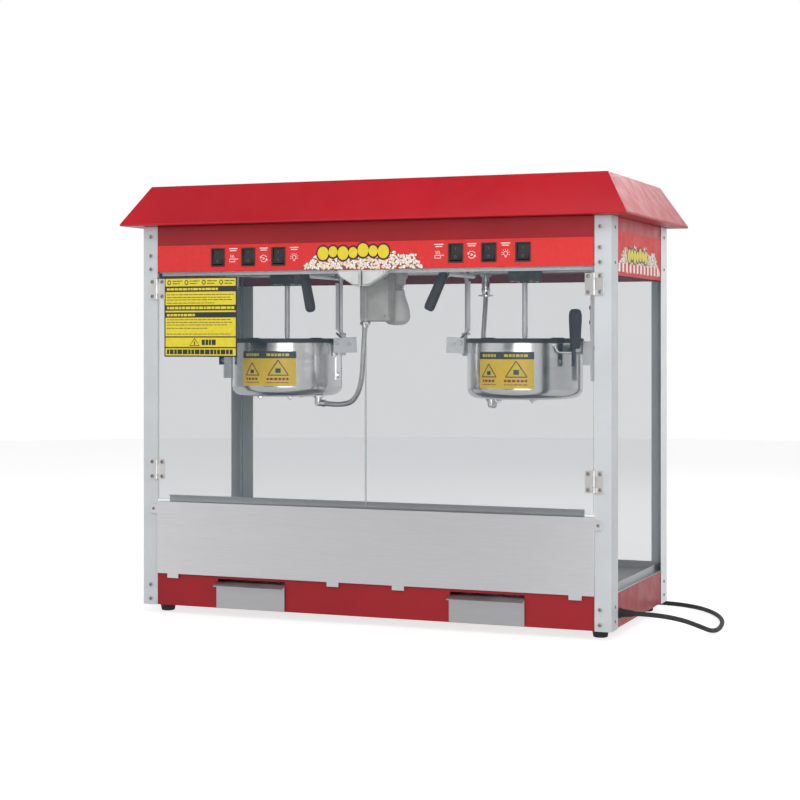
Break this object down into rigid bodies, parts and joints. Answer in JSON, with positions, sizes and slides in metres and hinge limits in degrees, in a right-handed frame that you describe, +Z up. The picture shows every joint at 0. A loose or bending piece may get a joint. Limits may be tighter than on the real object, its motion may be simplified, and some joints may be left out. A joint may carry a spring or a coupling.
{
  "type": "popcorn machine",
  "caption": "Countertop popcorn machine: glazed cabinet under a hip roof, hanging tilt kettles with stirrers, swing doors, crumb drawers and a mains lead.",
  "frame": {"origin": "on the table, under the middle of the roof", "axes": "+X to the right of someone facing the doors, +Y to the back, +Z up"},
  "size_m": [1.0827, 0.5755, 0.795],
  "materials": {
    "red_paint": "glossy baked enamel",
    "powder_coat": "satin powder coat",
    "stainless": "fine brushed",
    "polished_steel": "polished",
    "nickel": "dull nickel plate",
    "clear_glass": "clear",
    "black_plastic": "satin black",
    "black_lid": "dark non-stick coat",
    "white_plastic": "semi-gloss",
    "beige_plastic": "moulded",
    "dark_casting": "dark cast housing",
    "black_rubber": "matt",
    "frosted_glass": "frosted",
    "conduit_steel": "spiral-wound metal hose"
  },
  "bodies": {
    "cabinet": {"roof": "red_paint", "front_fascia": "red_paint", "upper_housing": "red_paint", "ceiling_plate": "stainless", "base_shell": "red_paint", "floor_tray": "stainless", "sill_panel": "stainless", "side_glass_left": "clear_glass", "side_glass_right": "clear_glass", "rear_glass": "clear_glass", "warming_lamp": "frosted_glass", "junction_box": "beige_plastic", "cord_gland": "black_rubber", "power_cord": "black_rubber", "cord_coil": "black_rubber", "mains_plug": "black_rubber", "post_front_left": "powder_coat", "post_rear_left": "powder_coat", "foot_front_left": "black_rubber", "foot_rear_left": "black_rubber", "gear_motor_left": "dark_casting", "hanger_left": "stainless", "conduit_left": "conduit_steel", "post_front_right": "powder_coat", "post_rear_right": "powder_coat", "foot_front_right": "black_rubber", "foot_rear_right": "black_rubber", "gear_motor_right": "dark_casting", "hanger_right": "stainless", "conduit_right": "conduit_steel"},
    "left_door": {"door_left": "clear_glass", "door_pull_left": "white_plastic", "hinge_left_upper": "nickel", "hinge_left_lower": "nickel"},
    "left_drawer": {"crumb_drawer_left": "stainless"},
    "left_light_rocker": {"rocker_light_left": "black_plastic"},
    "left_stir_rocker": {"rocker_stir_left": "black_plastic"},
    "left_heat_rocker": {"rocker_heat_left": "black_plastic"},
    "left_kettle": {"kettle_left": "polished_steel", "tilt_handle_left": "black_plastic"},
    "left_flap": {"lid_flap_left": "black_lid"},
    "left_hub": {"drive_hub_left": "dark_casting"},
    "left_shaft": {"drive_shaft_left": "stainless"},
    "left_stirrer": {"agitator_left": "stainless"},
    "left_lever": {"lift_lever_left": "black_plastic"},
    "right_door": {"door_right": "clear_glass", "door_pull_right": "white_plastic", "hinge_right_upper": "nickel", "hinge_right_lower": "nickel"},
    "right_drawer": {"crumb_drawer_right": "stainless"},
    "right_light_rocker": {"rocker_light_right": "black_plastic"},
    "right_stir_rocker": {"rocker_stir_right": "black_plastic"},
    "right_heat_rocker": {"rocker_heat_right": "black_plastic"},
    "right_kettle": {"kettle_right": "polished_steel", "tilt_handle_right": "black_plastic"},
    "right_flap": {"lid_flap_right": "black_lid"},
    "right_hub": {"drive_hub_right": "dark_casting"},
    "right_shaft": {"drive_shaft_right": "stainless"},
    "right_stirrer": {"agitator_right": "stainless"},
    "right_lever": {"lift_lever_right": "black_plastic"}
  },
  "joints": [
    {"name": "door_left_swing", "type": "hinge", "parent": "cabinet", "child": "left_door", "pos_m": [-0.4205, -0.2035, 0.4225], "axis": [0, 0, -1], "range_deg": [0, 110]},
    {"name": "drawer_left_slide", "type": "slide", "parent": "cabinet", "child": "left_drawer", "axis": [0, -1, 0], "range_m": [0, 0.25]},
    {"name": "rocker_light_left_press", "type": "hinge", "parent": "cabinet", "child": "left_light_rocker", "pos_m": [-0.171, -0.1975, 0.66], "axis": [1, 0, 0], "range_deg": [0, 16]},
    {"name": "rocker_stir_left_press", "type": "hinge", "parent": "cabinet", "child": "left_stir_rocker", "pos_m": [-0.232, -0.1975, 0.66], "axis": [1, 0, 0], "range_deg": [0, 16]},
    {"name": "rocker_heat_left_press", "type": "hinge", "parent": "cabinet", "child": "left_heat_rocker", "pos_m": [-0.294, -0.1975, 0.66], "axis": [1, 0, 0], "range_deg": [0, 16]},
    {"name": "kettle_left_tilt", "type": "hinge", "parent": "cabinet", "child": "left_kettle", "pos_m": [-0.239, -0.019, 0.493], "axis": [1, 0, 0], "range_deg": [0, 70], "deforming": ["conduit_left"]},
    {"name": "flap_left_lift", "type": "hinge", "parent": "left_kettle", "child": "left_flap", "pos_m": [-0.239, -0.0311, 0.512], "axis": [-1, 0, 0], "range_deg": [0, 80]},
    {"name": "drive_left_spin", "type": "hinge", "parent": "cabinet", "child": "left_hub", "pos_m": [-0.239, -0.019, 0.612], "axis": [0, 0, 1], "continuous": true},
    {"name": "shaft_left_lift", "type": "slide", "parent": "left_hub", "child": "left_shaft", "axis": [0, 0, 1], "range_m": [0, 0.0501]},
    {"name": "stirrer_left_spin", "type": "hinge", "parent": "left_kettle", "child": "left_stirrer", "pos_m": [-0.239, -0.019, 0.403], "axis": [0, 0, 1], "continuous": true},
    {"name": "lever_left_turn", "type": "hinge", "parent": "cabinet", "child": "left_lever", "pos_m": [-0.1364, -0.009, 0.6255], "axis": [0, 1, 0], "range_deg": [0, 22.1]},
    {"name": "door_right_swing", "type": "hinge", "parent": "cabinet", "child": "right_door", "pos_m": [0.4205, -0.2035, 0.4225], "axis": [0, 0, 1], "range_deg": [0, 110]},
    {"name": "drawer_right_slide", "type": "slide", "parent": "cabinet", "child": "right_drawer", "axis": [0, -1, 0], "range_m": [0, 0.25]},
    {"name": "rocker_light_right_press", "type": "hinge", "parent": "cabinet", "child": "right_light_rocker", "pos_m": [0.294, -0.1975, 0.66], "axis": [1, 0, 0], "range_deg": [0, 16]},
    {"name": "rocker_stir_right_press", "type": "hinge", "parent": "cabinet", "child": "right_stir_rocker", "pos_m": [0.232, -0.1975, 0.66], "axis": [1, 0, 0], "range_deg": [0, 16]},
    {"name": "rocker_heat_right_press", "type": "hinge", "parent": "cabinet", "child": "right_heat_rocker", "pos_m": [0.171, -0.1975, 0.66], "axis": [1, 0, 0], "range_deg": [0, 16]},
    {"name": "kettle_right_tilt", "type": "hinge", "parent": "cabinet", "child": "right_kettle", "pos_m": [0.239, -0.019, 0.493], "axis": [1, 0, 0], "range_deg": [0, 70], "deforming": ["conduit_right"]},
    {"name": "flap_right_lift", "type": "hinge", "parent": "right_kettle", "child": "right_flap", "pos_m": [0.239, -0.0311, 0.512], "axis": [-1, 0, 0], "range_deg": [0, 80]},
    {"name": "drive_right_spin", "type": "hinge", "parent": "cabinet", "child": "right_hub", "pos_m": [0.239, -0.019, 0.612], "axis": [0, 0, 1], "continuous": true},
    {"name": "shaft_right_lift", "type": "slide", "parent": "right_hub", "child": "right_shaft", "axis": [0, 0, 1], "range_m": [0, 0.0501]},
    {"name": "stirrer_right_spin", "type": "hinge", "parent": "right_kettle", "child": "right_stirrer", "pos_m": [0.239, -0.019, 0.403], "axis": [0, 0, 1], "continuous": true},
    {"name": "lever_right_turn", "type": "hinge", "parent": "cabinet", "child": "right_lever", "pos_m": [0.1364, -0.009, 0.6255], "axis": [0, -1, 0], "range_deg": [0, 22.1]}
  ],
  "couplings": [
    {"joint": "shaft_left_lift", "follows": "kettle_left_tilt", "m_per_rad": 0.040926},
    {"joint": "stirrer_left_spin", "follows": "drive_left_spin", "ratio": 1},
    {"joint": "lever_left_turn", "follows": "kettle_left_tilt", "ratio": 0.31429},
    {"joint": "shaft_right_lift", "follows": "kettle_right_tilt", "m_per_rad": 0.040926},
    {"joint": "stirrer_right_spin", "follows": "drive_right_spin", "ratio": 1},
    {"joint": "lever_right_turn", "follows": "kettle_right_tilt", "ratio": 0.31429}
  ]
}
